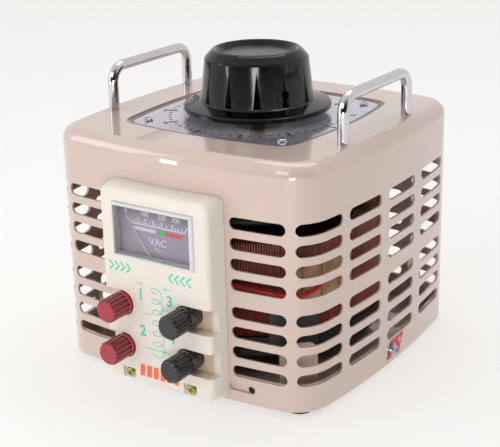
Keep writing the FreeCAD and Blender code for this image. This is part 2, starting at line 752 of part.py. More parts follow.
def clamp_hardware():
    low = d.coil_top + 0.2
    high = low + d.clamp_thickness
    bolts, nuts = [], []
    for i in range(3):
        angle = math.radians(90 + 120 * i)
        x, y = d.tie_circle * math.cos(angle), d.tie_circle * math.sin(angle)
        head = hexagon(f"tie_head_{i}", 5.6, 4, x, y, d.disc_base - 4)
        shank = cylinder(f"tie_shank_{i}", 3, high - d.disc_base + 3.5, x, y, d.disc_base)
        bolts.append(fuse(f"tie_bolt_{i}", [head, shank]))
        blank = hexagon(f"tie_nut_blank_{i}", 5.6, 3.2, x, y, high)
        nuts.append(cut(f"tie_nut_{i}", blank, [cylinder(f"tie_nut_bore_{i}", 3, 10, x, y, high - 2)]))
    node(group("tie_bolt_set", bolts), "tie_bolts")
    node(group("tie_nut_set", nuts), "tie_nuts")
    node(cylinder("stop_peg", 2.5, d.radiator_height - 1.4 - low, 40, 0, low), "stop_pin")


def bushes():
    gap = d.bearing_gap
    bore = d.shaft_radius + gap
    node(revolve("bush_low", [(bore, 41), (7, 41), (7, 60), (9.5, 60), (9.5, 61.5), (bore, 61.5)]),
         "lower_bush")
    low = d.coil_top + 0.2
    top = low + d.clamp_thickness
    node(revolve("bush_high", [(bore, low - 6), (7, low - 6), (7, top), (9.5, top),
                               (9.5, top + 1.5), (bore, top + 1.5)]), "upper_bush")


def brush_gear():
    """The rotor: a heat-spreading disc on the shaft that carries the brush holder."""
    low = d.radiator_height
    high = low + d.radiator_thickness
    hub_low = d.coil_top + 0.2 + d.clamp_thickness + 1.8
    shaft_bore = d.shaft_radius
    disc = revolve("rotor_disc", [(shaft_bore, hub_low), (13, hub_low), (13, low),
                                  (d.radiator_radius - 1, low), (d.radiator_radius, low + 1),
                                  (d.radiator_radius, high), (15, high), (15, high + 9),
                                  (shaft_bore, high + 9)])
    lug = doc.addObject("Part::Cylinder", "stop_lug_blank")
    bind(lug, Radius=43, Height=2.2)
    lug.Angle = 51.4
    put(lug, 0, 0, low - 2.4, ((0, 0, 1), -55.7))
    lug_trim = cut("stop_lug", lug, [cylinder("stop_lug_bore", 12, 10, 0, 0, low - 6)])
    rotor = fuse("rotor", [disc, lug_trim])
    spring_place = d.brush_circle
    hole = cylinder("holder_hole", 6, 20, -spring_place, 0, low - 5)
    node(cut("rotor_bored", rotor, [hole]), "brush_rotor")
    holder = revolve("holder_tube", [(4.6, 0), (6, 0), (6, 24), (0, 24), (0, 22), (4.6, 22)],
                     -spring_place, 0, d.coil_top + 4)
    node(holder, "brush_holder")
    node(revolve("carbon", [(0, 0), (4.1, 0), (4.5, 0.8), (4.5, 12), (0, 12)], -spring_place, 0,
                 d.coil_top + 0.4), "carbon_brush")
    brush_spring(-float(spring_place), 0, float(d.coil_top) + 12.6, 13.2)


def brush_spring(x, y, z, length):
    """A coil spring of round wire that presses the brush down."""
    wire_radius, coil_radius, turns, arcs_per_turn = 0.5, 3.6, 5, 6

    def on_helix(turn):
        angle = 2 * math.pi * turn
        return Vector(coil_radius * math.cos(angle), coil_radius * math.sin(angle),
                      (length - 2 * wire_radius) * turn / turns)

    arcs = []
    for i in range(turns * arcs_per_turn):
        first, middle, last = (on_helix((i + step) / arcs_per_turn) for step in (0, 0.5, 1))
        arcs.append(Part.Arc(first, middle, last).toShape())
    along = arcs[0].tangentAt(arcs[0].FirstParameter)
    start = Part.Wire(Part.Circle(on_helix(0), along, wire_radius).toShape())
    coil = Part.Wire(arcs).makePipeShell([start], True, False)
    feature = doc.addObject("Part::Feature", "spring_coil")
    feature.Shape = coil
    feature.Placement = Placement(Vector(x, y, z + wire_radius), Rotation())
    return node(feature, "brush_spring")


# ---------------------------------------------------------------- leads

def lead(name, label, radius, points):
    """A lead laid along straight runs joined by arcs as large as the runs allow."""
    route = [Vector(*point) for point in points]
    edges = []
    here = route[0]
    radii = []
    for before, corner, after in zip(route, route[1:], route[2:]):
        into, away = (corner - before), (after - corner)
        turn = into.getAngle(away)
        reach = 0.45 * min(into.Length, away.Length)
        into.normalize()
        away.normalize()
        first, last = corner - into * reach, corner + away * reach
        bend = reach / math.tan(turn / 2)
        radii.append(round(bend, 1))
        bisector = away - into
        bisector.normalize()
        middle = corner + bisector * (bend / math.cos(turn / 2) - bend)
        edges.append(Part.LineSegment(here, first).toShape())
        edges.append(Part.Arc(first, middle, last).toShape())
        here = last
    edges.append(Part.LineSegment(here, route[-1]).toShape())
    path = Part.Wire(edges)
    normal = route[1] - route[0]
    profile = Part.Wire(Part.Circle(route[0], normal, radius).toShape())
    tube = path.makePipeShell([profile], True, False)
    expected = math.pi * radius ** 2 * path.Length
    print(f"{label}: radii {radii}, volume ratio {tube.Volume / expected:.3f}")
    feature = doc.addObject("Part::Feature", name)
    feature.Shape = tube
    return node(feature, label)


def leads():
    lug_height = float(d.upper_post_height) + 9.5
    low_lug = float(d.lower_post_height) + 9.5
    left, right = (float(post_places()[i][0]) for i in (0, 1))
    lead("output_lead_tube", "output_lead", 1.7, [
        (84.5, -50.5, 76.4), (81, -58, 72.4), (75.6, -67, 71.4), (67.5, -77, 73.8), (56, -85.5, 78),
        (45, -91.5, 80.5), (35, -97.5, 83), (28, -106.5, 84.5), (right, -114.5, lug_height)])
    lead("input_lead_tube", "input_lead", 1.7, [
        (-66, -74, 62), (-58, -82, 66), (-48, -90, 72), (-39, -98, 80), (-31, -107, 84.5),
        (left, -114.5, lug_height)])
    lead("common_lead_tube", "common_lead", 1.7, [
        (-14, -97.5, 34), (-14, -98.5, 42), (-17, -101, 49), (-22, -106, 53), (-26, -111.5, 51.5),
        (left, -114.5, low_lug)])


# ---------------------------------------------------------------- terminal panel

def front_panel():
    half, wall = d.panel_half_width, d.panel_wall
    base, top, front = d.panel_base, d.panel_top, d.panel_front
    body = doc.addObject("PartDesign::Body", "panel_block")
    sketch = sketch_in(body, "panel_face", "XZ_Plane")
    draft = d.panel_draft
    outline(sketch, rectangle(-half - draft, base - draft, half + draft, top + draft))
    block = pad(body, sketch, "panel_pad", front - 108)
    block.TaperAngle = -math.degrees(math.atan(float(draft) / (float(front) - 108)))
    put(body, 0, -108, 0)
    doc.recompute()
    sides = edges_where(block.Shape, lambda edge: edge.BoundBox.YLength > 10)
    rounded = fillet(body, block, "panel_corners", sides, d.panel_edge)
    face_edges = edges_where(rounded.Shape, lambda edge: edge.BoundBox.YMax < -float(front) + 0.01 + 108)
    if not face_edges:
        face_edges = edges_where(rounded.Shape, lambda edge: edge.BoundBox.YMax < -float(front) + 0.01)
    fillet(body, rounded, "panel_rim", face_edges, d.panel_edge - 1)
    tools = panel_pockets() + panel_cavities()
    tools.append(box("meter_hole", d.window_half_width * 2 + 0.6, 20, d.window_half_height * 2 + 0.6,
                     -d.window_half_width - 0.3, -front - 5, d.window_centre - d.window_half_height - 0.3))
    sweep = side_radius(d.half_width, d.side_corner)
    tools.append(cylinder("cover_face", sweep + 0.3, 200, 0, sweep - d.half_width, -5))
    for i, (x, z) in enumerate(post_places()):
        tools.append(cylinder(f"stud_hole_{i}", 3.2, 30, x, -front + 25, z, ((1, 0, 0), 90)))
    for i, side in enumerate((-1, 1)):
        tools.append(cylinder(f"panel_screw_hole_{i}", 1.9, 40, side * 27, -100, 13.5, ((1, 0, 0), 90)))
        tools.append(box(f"panel_notch_{i}", 11, 20, 12, side * 27 - 5.5, -front - 17, base - 2))
    return node(cut("panel", body, tools), "front_panel")


def post_places():
    left, right = -d.post_offset - d.post_shift, d.post_offset - d.post_shift
    high, low = d.upper_post_height, d.lower_post_height
    return [(left, high), (right, high), (left, low), (right, low)]


def panel_pockets():
    """Pockets around the posts, round at the post and open to the panel's side."""
    tools = []
    depth, radius, front = d.pocket_depth, d.pocket_radius, d.panel_front
    for i, (x, z) in enumerate(post_places()):
        side = 1 if float(x) > 0 else -1
        tools.append(cylinder(f"pocket_end_{i}", radius, depth + 10, x, -front + depth, z, ((1, 0, 0), 90)))
        left = x if side > 0 else x - 30
        tools.append(box(f"pocket_run_{i}", 30, depth + 10, radius * 2, left, -front - 10, z - radius))
    return tools


def panel_cavities():
    """The hollow behind the panel's face: deep behind the meter, shallow behind the posts."""
    half, wall, front = d.panel_half_width, d.panel_wall, d.panel_front
    inner = half - wall
    deep = -front + wall
    shallow = -front + d.pocket_depth + wall
    middle = size(82)
    return [
        box("meter_cavity", inner * 2, 60, d.panel_top - wall - middle, -inner, deep, middle),
        box("post_cavity", inner * 2, 60, middle - 19, -inner, shallow, 19),
        box("label_cavity", 30, 60, middle - 11, -15, deep, 11),
    ]


def panel_screws():
    screws = []
    for i, side in enumerate((-1, 1)):
        screws.append(cross_screw(f"panel_screw_{i}", 4.1, 2.8, 1.8, 16, ((1, 0, 0), 90),
                                  side * 27, -d.panel_front + 3, 13.5))
    return node(group("panel_screw_set", screws), "panel_screws")


def meter():
    width, height = d.window_half_width, d.window_half_height
    centre, front = d.window_centre, d.panel_front
    body = doc.addObject("PartDesign::Body", "window_block")
    sketch = sketch_in(body, "window_face", "XZ_Plane")
    outline(sketch, rectangle(-width, -height, width, height))
    block = pad(body, sketch, "window_pad", d.window_rise + 5)
    put(body, 0, -front + 5, centre)
    doc.recompute()
    face_y = block.Shape.BoundBox.YMin
    edges = edges_where(block.Shape, lambda edge: edge.BoundBox.YMax < face_y + 0.01)
    chamfer(body, block, "window_bevel", edges, 1.6)
    hollow = box("window_hollow", (width - 2) * 2, 10, (height - 2) * 2, 2 - width,
                 -front - d.window_rise + 1.6, centre - height + 2)
    node(cut("window", body, [hollow]), "meter_window")
    pivot = centre - d.needle_drop
    back = size(-107)
    shell = box("case_block", width * 2 + 4, front - 3.2 + back, height + 2 + centre - pivot + 8,
                -width - 2, -front + 3.2, pivot - 8)
    case_hollow = box("case_hollow", width * 2, front - 3.2 + back - 2, height + centre - pivot + 6,
                      -width, -front + 3.2, pivot - 6)
    sight = box("case_sight", width * 2 - 2, 10, height * 2 - 2, -width + 1, -front + 1,
                centre - height + 1)
    node(cut("case", shell, [case_hollow, sight]), "meter_case")
    scale_y = -front + 6.5
    node(box("scale_card", width * 2 - 1, 1, height + centre - pivot - 2, -width + 0.5, scale_y,
             pivot + 1), "meter_dial")
    node(cylinder("movement_body", 7, 9, 0, scale_y + 11, pivot + 9, ((1, 0, 0), 90)), "meter_movement")
    needle(pivot, scale_y)


def needle(pivot, scale_y):
    """The pointer on its pivot, leaning to the left stop at rest."""
    body = doc.addObject("PartDesign::Body", "pointer_blade")
    sketch = sketch_in(body, "pointer_outline", "XZ_Plane")
    outline(sketch, [(-0.7, 0), (0.7, 0), (0.25, d.needle_length), (-0.25, d.needle_length)])
    pad(body, sketch, "pointer_pad", 0.5)
    boss = cylinder("pointer_boss", 2.6, 1.1, 0, 0.3, 0, ((1, 0, 0), 90))
    pointer = fuse("pointer", [body, boss])
    put(pointer, 0, scale_y - 0.5, pivot, ((0, 1, 0), -float(d.needle_rest_angle)))
    return node(pointer, "meter_needle")


def binding_posts():
    front = d.panel_front
    floor = -front + d.pocket_depth
    face = (1, 0, 0), 90
    collars, studs, nuts, lugs = {-1: [], 1: []}, [], [], []
    names = ["input_upper", "output_upper", "input_lower", "output_lower"]
    inside = floor + d.panel_wall
    for i, ((x, z), name) in enumerate(zip(post_places(), names)):
        collar = revolve(f"collar_{name}", [(3.1, 0), (d.collar_radius, 0),
                                            (d.collar_radius, d.collar_length - 1.2),
                                            (d.collar_radius - 1.2, d.collar_length),
                                            (3.1, d.collar_length)], x, floor, z, face)
        collars[1 if float(x) > 0 else -1].append(collar)
        seat = floor - d.collar_length
        studs.append(cylinder(f"stud_{i}", d.stud_radius, 40, x, floor + 16, z, face))
        for j, (offset, thick) in enumerate(((0, 4.4), (5.6, 4.4))):
            blank = hexagon(f"post_nut_blank_{i}_{j}", 5.6, thick, x, inside + offset + thick, z, face)
            bore = cylinder(f"post_nut_bore_{i}_{j}", 3, 12, x, inside + offset + thick + 3, z, face)
            nuts.append(cut(f"post_nut_{i}_{j}", blank, [bore]))
        lugs.append(terminal_lug(i, x, inside + 4.5, z))
        gap = d.running_gap
        insert = revolve(f"insert_{name}", [(d.stud_radius + 0.05, 0), (d.insert_radius, 0),
                                            (d.insert_radius, 17.6), (d.stud_radius + 0.05, 17.6)],
                         x, seat - gap, z, face)
        node(insert, f"post_insert_{name}")
        node(post_cap(name, x, seat - gap, z), f"post_cap_{name}")
    node(group("stud_set", studs), "post_studs")
    node(group("collar_set_left", collars[-1]), "post_collars_input")
    node(group("collar_set_right", collars[1]), "post_collars_output")
    node(group("post_nut_set", nuts), "post_nuts")
    node(group("lug_set", lugs), "terminal_lugs")


def terminal_lug(i, x, y, z):
    """A ring terminal with a short barrel that points up."""
    plate = cylinder(f"lug_ring_{i}", 5.2, 1, x, y + 1, z, ((1, 0, 0), 90))
    tongue = box(f"lug_tongue_{i}", 4, 1, 8.5, x - 2, y, z)
    barrel = cylinder(f"lug_barrel_{i}", 2.6, 5, x, y + 0.5, z + 8)
    body = fuse(f"lug_blank_{i}", [plate, tongue, barrel])
    stud_hole = cylinder(f"lug_hole_{i}", 3.1, 8, x, y + 4, z, ((1, 0, 0), 90))
    wire_hole = cylinder(f"lug_wire_hole_{i}", 1.75, 10, x, y + 0.5, z + 9.4)
    return cut(f"lug_{i}", body, [stud_hole, wire_hole])


def post_cap(name, x, y, z):
    """A fluted cap with a bevelled front edge, moulded round its threaded insert."""
    length, radius, gap = d.cap_length, d.cap_radius, d.running_gap
    bore = d.insert_radius + 0.05
    blank = revolve(f"cap_blank_{name}", [
        (bore, 0), (radius, 0), (radius, length - 1.6), (radius - 1.1, length - 0.4),
        (radius - 1.6, length - 0.4), (radius - 2, length), (0, length), (0, 17.7), (bore, 17.7)])
    tools = []
    count = int(float(d.cap_flutes))
    for i in range(count):
        angle = math.radians(360.0 / count * (i + 0.5))
        reach = radius + 0.1
        tools.append(cylinder(f"cap_flute_{name}_{i}", 1.15, length - 3.4, reach * math.cos(angle),
                              reach * math.sin(angle), 3.4 + 0.5))
    cap = cut(f"cap_{name}", blank, tools)
    return put(cap, x, y, z, ((1, 0, 0), 90))


# ---------------------------------------------------------------- whole object

def build():
    fill_sheet()
    cover()
    base_pan()
    rubber_feet()
    foot_screws()
    corner_brackets()
    dial_plate()
    dial_plate_screws()
    handle(-1, "handle_left")
    handle(1, "handle_right")
    handle_screws()
    ground_terminal()
    cover_screws()
    knob_body()
    knob_fittings()
    shaft()
    winding()
    core()
    base_disc()
    standoffs()
    top_clamp()
    clamp_hardware()
    bushes()
    brush_gear()
    coil_arc_sheet("patch", "tap_board", -44.0, -13.0, size(62), size(97), d.coil_outer + 0.1, size(0.8))
    coil_arc_sheet("grey_sheet", "insulation_sheet", -53.5, -31.5, size(29.9), size(58),
                   d.coil_outer + 0.1, size(0.6))
    leads()
    front_panel()
    panel_screws()
    meter()
    binding_posts()
    doc.recompute()


def check_and_write():
    broken = [item.Name for item in doc.Objects if "Invalid" in item.State or "Error" in item.State]
    if broken:
        raise RuntimeError("failed objects: " + ", ".join(broken))
    os.makedirs("parts", exist_ok=True)
    for item in NODES:
        shape = item.Shape
        if shape.isNull() or not shape.isValid():
            raise RuntimeError("bad shape: " + item.Label)
    for item in NODES:
        item.Shape.exportStep(f"parts/{item.Label}.step")
    print(len(NODES), "nodes written")


build()
check_and_write()
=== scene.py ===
import math
import random
import bpy
import bmesh
from mathutils import Matrix, Vector


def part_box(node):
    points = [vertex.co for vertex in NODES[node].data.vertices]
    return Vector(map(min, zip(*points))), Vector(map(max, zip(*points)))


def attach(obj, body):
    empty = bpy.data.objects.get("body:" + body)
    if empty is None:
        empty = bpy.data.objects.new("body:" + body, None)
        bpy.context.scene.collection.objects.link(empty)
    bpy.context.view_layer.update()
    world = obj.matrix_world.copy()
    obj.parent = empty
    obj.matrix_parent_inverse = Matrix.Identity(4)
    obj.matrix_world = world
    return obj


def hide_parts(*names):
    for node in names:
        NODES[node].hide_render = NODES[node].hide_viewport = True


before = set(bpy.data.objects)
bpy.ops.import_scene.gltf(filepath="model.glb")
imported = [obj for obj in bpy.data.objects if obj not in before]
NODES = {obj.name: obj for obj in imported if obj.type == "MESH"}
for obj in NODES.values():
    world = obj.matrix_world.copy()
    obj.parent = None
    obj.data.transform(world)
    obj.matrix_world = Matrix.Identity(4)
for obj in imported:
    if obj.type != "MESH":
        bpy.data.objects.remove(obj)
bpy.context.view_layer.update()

MM = 0.001
SCALE_START = 52.5  # degrees from +X: the dial's zero, where the knob's line points at rest
random.seed(11)


# ---------------------------------------------------------------- materials

def linear(red, green, blue):
    """Linear colour from 8-bit display values."""
    out = []
    for value in (red, green, blue):
        c = value / 255
        out.append(c / 12.92 if c <= 0.04045 else ((c + 0.055) / 1.055) ** 2.4)
    return (*out, 1.0)


class Shader:
    """A node tree round one Principled shader, with short names for its usual parts."""

    def __init__(self, name, color, roughness, metallic=0.0, **sockets):
        self.material = bpy.data.materials.new(name)
        self.material.use_nodes = True
        self.tree = self.material.node_tree
        self.bsdf = self.tree.nodes["Principled BSDF"]
        self.bsdf.inputs["Base Color"].default_value = color
        self.bsdf.inputs["Roughness"].default_value = roughness
        self.bsdf.inputs["Metallic"].default_value = metallic
        for socket, value in sockets.items():
            self.bsdf.inputs[socket.replace("_", " ")].default_value = value
        self.color, self.roughness = color, roughness
        self.where = self.tree.nodes.new("ShaderNodeTexCoord").outputs["Object"]
        self.bumps = None

    def node(self, kind, **settings):
        item = self.tree.nodes.new(kind)
        for key, value in settings.items():
            setattr(item, key, value)
        return item

    def link(self, source, target):
        self.tree.links.new(source, target)

    def noise(self, scale, detail=4.0, stretch=None):
        """Noise in cells per metre, optionally stretched along the axes."""
        item = self.node("ShaderNodeTexNoise")
        item.inputs["Scale"].default_value = scale
        item.inputs["Detail"].default_value = detail
        item.inputs["Distortion"].default_value = 0.0
        source = self.where
        if stretch:
            mapping = self.node("ShaderNodeMapping")
            mapping.inputs["Scale"].default_value = stretch
            self.link(source, mapping.inputs["Vector"])
            source = mapping.outputs["Vector"]
        self.link(source, item.inputs["Vector"])
        return item.outputs["Fac"]

    def ramp(self, source, low, high, first, last):
        """Goes from `first` to `last` as the source goes from `low` to `high`, and stays there."""
        item = self.node("ShaderNodeMapRange")
        item.inputs["From Min"].default_value = low
        item.inputs["From Max"].default_value = high
        item.inputs["To Min"].default_value = first
        item.inputs["To Max"].default_value = last
        self.link(source, item.inputs["Value"])
        return item.outputs["Result"]

    def part(self, letter):
        """One coordinate of the surface point, in metres."""
        split = self.node("ShaderNodeSeparateXYZ")
        self.link(self.where, split.inputs[0])
        return split.outputs[letter]

    def axis(self, letter, low, high):
        """Rises from 0 to 1 between two places on an axis, in millimetres."""
        return self.ramp(self.part(letter), low * MM, high * MM, 0.0, 1.0)

    def height(self, low, high):
        """Like axis on Z, but fitted to the range that mottle reads."""
        return self.ramp(self.part("Z"), low * MM, high * MM, 0.35, 0.7)

    def compute(self, operation, *sources):
        """A math node; each source is a node's output or a plain number."""
        item = self.node("ShaderNodeMath", operation=operation)
        for source, target in zip(sources, item.inputs):
            if isinstance(source, float):
                target.default_value = source
            else:
                self.link(source, target)
        return item.outputs[0]

    def product(self, *sources):
        result = sources[0]
        for source in sources[1:]:
            result = self.compute("MULTIPLY", result, source)
        return result

    def tint(self, mask, color):
        """Lays a colour over the present one, as far as the mask says."""
        mix = self.node("ShaderNodeMix", data_type="RGBA")
        self.link(mask, mix.inputs["Factor"])
        self.link(self.bsdf.inputs["Base Color"].links[0].from_socket, mix.inputs["A"])
        mix.inputs["B"].default_value = color
        self.link(mix.outputs["Result"], self.bsdf.inputs["Base Color"])

    def mottle(self, amount=0.08, scale=35.0, tint=None, source=None):
        """Varies the colour between itself and a darker or tinted tone."""
        mix = self.node("ShaderNodeMix", data_type="RGBA")
        base = self.color
        other = tint or tuple(c * (1 - amount) for c in base[:3]) + (1.0,)
        fac = self.ramp(source or self.noise(scale), 0.35, 0.7, 0.0, 1.0)
        self.link(fac, mix.inputs["Factor"])
        mix.inputs["A"].default_value = base
        mix.inputs["B"].default_value = other
        self.link(mix.outputs["Result"], self.bsdf.inputs["Base Color"])
        return self

    def grain(self, amount=0.08, scale=120.0, stretch=None):
        """Varies the roughness."""
        fac = self.ramp(self.noise(scale, stretch=stretch), 0.3, 0.7,
                        max(self.roughness - amount, 0.01), self.roughness + amount)
        self.link(fac, self.bsdf.inputs["Roughness"])
        return self

    def bump(self, depth=0.02, scale=400.0, stretch=None, detail=3.0):
        """Adds a bump of the given depth in millimetres."""
        item = self.node("ShaderNodeBump")
        item.inputs["Strength"].default_value = 1.0
        item.inputs["Distance"].default_value = depth * MM
        self.link(self.noise(scale, detail, stretch), item.inputs["Height"])
        if self.bumps:
            self.link(self.bumps, item.inputs["Normal"])
        self.bumps = item.outputs["Normal"]
        self.link(self.bumps, self.bsdf.inputs["Normal"])
        return self


def paint_pocket_shade(shader):
    """Paints a tan shade into the cream plastic where the pockets round the posts on the right are
    deepest.
    """
    mouth, floor = -130.5, -123.0
    bottom, top = 22.0, 80.0
    left, right = 10.0, 42.5
    strength = 0.55
    mask = shader.product(shader.axis("Y", mouth, floor), shader.axis("Z", top, top - 2),
                          shader.axis("Z", bottom, bottom + 2), shader.axis("X", left, left + 4),
                          shader.axis("X", right, right - 2.5), strength)
    # painted shade: tan laid into the deep parts of the pockets
    shader.tint(mask, linear(190, 150, 92))


def shade_flutes(shader):
    """Darkens the bottoms of the flutes in the post caps, by distance from the nearest post's axis."""
    boxes = [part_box(f"post_cap_{name}") for name in ("input_upper", "output_lower")]
    (left, upper), (right, lower) = [((low.x + high.x) / 2, (low.z + high.z) / 2) for low, high in boxes]
    ridge, valley = 8.6, 8.0
    face_edge, flute_start = 7.2, 7.5
    front, behind_front = -151.4, -150.4
    strength, darkest = 0.8, 0.2

    def nearest(letter, first, second):
        gaps = [shader.compute("ABSOLUTE", shader.compute("SUBTRACT", shader.part(letter), place))
                for place in (first, second)]
        return shader.compute("MINIMUM", *gaps)

    across, along = nearest("X", left, right), nearest("Z", upper, lower)
    squares = shader.compute("ADD", shader.product(across, across), shader.product(along, along))
    reach = shader.compute("SQRT", squares)
    hollow = shader.ramp(reach, ridge * MM, valley * MM, 0.0, 1.0)
    outer = shader.ramp(reach, face_edge * MM, flute_start * MM, 0.0, 1.0)
    mask = shader.product(hollow, outer, shader.axis("Y", front, behind_front), strength)
    shader.tint(mask, tuple(c * darkest for c in shader.color[:3]) + (1.0,))


def frost_rim(shader):
    """Makes the window's bevelled edge pale and half clear; the middle stays clear."""
    low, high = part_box("meter_window")
    middle = (low.z + high.z) / 2
    half_width, half_height, bevel = 32.2, 17.5, 0.4
    edge_clearness = 0.35
    across = shader.compute("ABSOLUTE", shader.part("X"))
    along = shader.compute("ABSOLUTE", shader.compute("SUBTRACT", shader.part("Z"), middle))
    sides = shader.ramp(across, half_width * MM, (half_width + bevel) * MM, 0.0, 1.0)
    ends = shader.ramp(along, half_height * MM, (half_height + bevel) * MM, 0.0, 1.0)
    clearness = shader.ramp(shader.compute("MAXIMUM", sides, ends), 0.0, 1.0, 1.0, edge_clearness)
    shader.link(clearness, shader.bsdf.inputs["Transmission Weight"])


def shell():
    """Painted sheet, the panel and its label, the feet."""
    m = {}
    m["enamel"] = Shader("enamel", linear(204, 182, 171), 0.34, Coat_Weight=1.0, Coat_Roughness=0.015,
                         Coat_IOR=1.6)
    m["enamel"].mottle(0.05, 14).grain(0.05, 60).bump(0.0015, 260).bump(0.02, 16)
    m["panel"] = Shader("cream_plastic", linear(229, 221, 212), 0.36, Subsurface_Weight=0.12,
                        Subsurface_Radius=(0.004, 0.003, 0.002))
    m["panel"].mottle(0.03, 25).grain(0.06, 200).bump(0.012, 700)
    paint_pocket_shade(m["panel"])
    m["label_red"] = Shader("label_red", linear(208, 62, 52), 0.4)
    m["label_red"].mottle(0.1, 200).grain(0.08, 300).bump(0.01, 900)
    m["rubber"] = Shader("rubber", linear(24, 24, 25), 0.75)
    m["rubber"].mottle(0.2, 100).grain(0.1, 250).bump(0.03, 600)
    return m


def knob_and_posts():
    """Moulded parts for the fingers."""
    m = {}
    m["black_gloss"] = Shader("black_gloss", linear(4, 4, 6), 0.13, Specular_IOR_Level=0.42)
    m["black_gloss"].mottle(0.3, 60).grain(0.05, 90).bump(0.003, 400)
    m["grey_disc"] = Shader("grey_disc", linear(66, 64, 73), 0.25, 0.6)
    m["grey_disc"].mottle(0.1, 60).grain(0.06, 200).bump(0.004, 900)
    m["black_post"] = Shader("black_post", linear(26, 26, 31), 0.22, Coat_Weight=0.5, Coat_Roughness=0.08)
    m["black_post"].mottle(0.15, 120).grain(0.05, 300).bump(0.004, 700)
    m["red_post"] = Shader("red_post", linear(166, 30, 46), 0.22, Coat_Weight=0.5, Coat_Roughness=0.08)
    m["red_post"].mottle(0.15, 120).grain(0.05, 300).bump(0.004, 700)
    for name in ("black_post", "red_post"):
        shade_flutes(m[name])
    return m


def metals():
    """Handles, plate, screws and turned parts."""
    m = {}
    m["chrome"] = Shader("chrome", linear(214, 213, 218), 0.06, 1.0)
    m["chrome"].mottle(0.05, 40).grain(0.025, 90, (1, 0.2, 1)).bump(0.003, 500)
    m["plate"] = Shader("plate", linear(212, 207, 218), 0.16, 0.8)
    m["plate"].mottle(0.06, 30).grain(0.05, 900, (0.02, 1, 1)).bump(0.002, 2500, (0.01, 1, 1))
    m["zinc"] = Shader("zinc", linear(200, 206, 214), 0.24, 1.0)
    m["zinc"].mottle(0.2, 300, linear(150, 160, 178)).grain(0.1, 500).bump(0.01, 900)
    m["yellow_zinc"] = Shader("yellow_zinc", linear(206, 196, 120), 0.26, 1.0)
    m["yellow_zinc"].mottle(0.3, 350, linear(150, 170, 120)).grain(0.1, 500).bump(0.01, 900)
    m["brass"] = Shader("brass", linear(205, 166, 92), 0.3, 1.0)
    m["brass"].mottle(0.3, 200, linear(150, 112, 58)).grain(0.12, 400).bump(0.01, 900)
    m["steel"] = Shader("steel", linear(150, 150, 154), 0.35, 1.0)
    m["steel"].mottle(0.2, 90).grain(0.1, 300).bump(0.008, 900)
    m["bare_copper"] = Shader("bare_copper", linear(214, 140, 100), 0.3, 1.0)
    m["bare_copper"].mottle(0.4, 600, linear(140, 78, 50)).grain(0.1, 500).bump(0.01, 900)
    m["solder"] = Shader("solder", linear(206, 206, 204), 0.22, 1.0)
    m["solder"].mottle(0.2, 600).grain(0.1, 500).bump(0.03, 900)
    return m


def transformer():
    """What shows through the slots."""
    m = {}
    m["wire"] = Shader("wire", linear(150, 58, 38), 0.34, Coat_Weight=0.3, Coat_Roughness=0.2)
    m["wire"].mottle(0.5, 55, linear(112, 42, 30)).grain(0.08, 200).bump(0.01, 500)
    m["core"] = Shader("core", linear(70, 70, 76), 0.5, 0.8)
    m["core"].mottle(0.3, 300).grain(0.1, 500).bump(0.02, 1200, (1, 1, 6))
    m["tape"] = Shader("tape", linear(46, 34, 24), 0.6)
    m["tape"].mottle(0.3, 120).grain(0.1, 300).bump(0.05, 900)
    m["board"] = Shader("board", linear(196, 160, 120), 0.7)
    m["board"].mottle(0.3, 90, linear(158, 120, 84)).grain(0.1, 300).bump(0.05, 900, (1, 1, 3))
    m["grey_sheet"] = Shader("grey_sheet", linear(64, 66, 70), 0.5)
    m["grey_sheet"].mottle(0.25, 60).grain(0.1, 300).bump(0.03, 500)
    m["black_matte"] = Shader("black_matte", linear(26, 25, 26), 0.6)
    m["black_matte"].mottle(0.25, 80).grain(0.1, 200).bump(0.03, 500)
    m["red_lead"] = Shader("red_lead", linear(214, 40, 30), 0.3, Coat_Weight=0.3, Coat_Roughness=0.1)
    m["red_lead"].mottle(0.2, 100).grain(0.08, 300).bump(0.02, 600)
    m["black_lead"] = Shader("black_lead", linear(22, 22, 24), 0.35)
    m["black_lead"].mottle(0.2, 100).grain(0.08, 300).bump(0.02, 600)
    m["carbon"] = Shader("carbon", linear(40, 40, 42), 0.55)
    m["carbon"].mottle(0.2, 200).grain(0.1, 300).bump(0.02, 900)
    return m


def meter():
    """Window, dial card, pointer and case of the meter."""
    m = {}
    m["clear"] = Shader("clear", (0.97, 0.98, 0.98, 1.0), 0.01, Transmission_Weight=1.0, IOR=1.2)
    m["clear"].grain(0.006, 60)
    frost_rim(m["clear"])
    m["card"] = Shader("card", linear(166, 156, 172), 0.45)
    m["card"].mottle(0.5, 30, linear(58, 52, 60), m["card"].height(130, 143))
    m["card"].grain(0.06, 200).bump(0.006, 900)
    m["needle"] = Shader("needle", linear(226, 218, 200), 0.4)
    m["needle"].mottle(0.1, 300).grain(0.06, 400).bump(0.004, 900)
    m["beige_plastic"] = Shader("beige_plastic", linear(196, 178, 150), 0.5)
    m["beige_plastic"].mottle(0.1, 60).grain(0.06, 200).bump(0.01, 600)
    return m


def inks():
    """Printed marks."""
    m = {}
    for name, rgb, rough in (("ink_white", (232, 228, 238), 0.5), ("ink_black", (28, 28, 34), 0.45),
                             ("ink_teal", (70, 206, 170), 0.5), ("ink_green", (70, 196, 120), 0.5),
                             ("ink_red", (240, 84, 84), 0.5), ("ink_orange", (244, 110, 70), 0.5),
                             ("ink_grey", (120, 120, 130), 0.35)):
        m[name] = Shader(name, linear(*rgb), rough)
        m[name].mottle(0.08, 400).grain(0.08, 500).bump(0.004, 1200)
    return m


def make_materials():
    shaders = {}
    for family in (shell, knob_and_posts, metals, transformer, meter, inks):
        shaders.update(family())
    return {name: shader.material for name, shader in shaders.items()}


MATERIALS = make_materials()

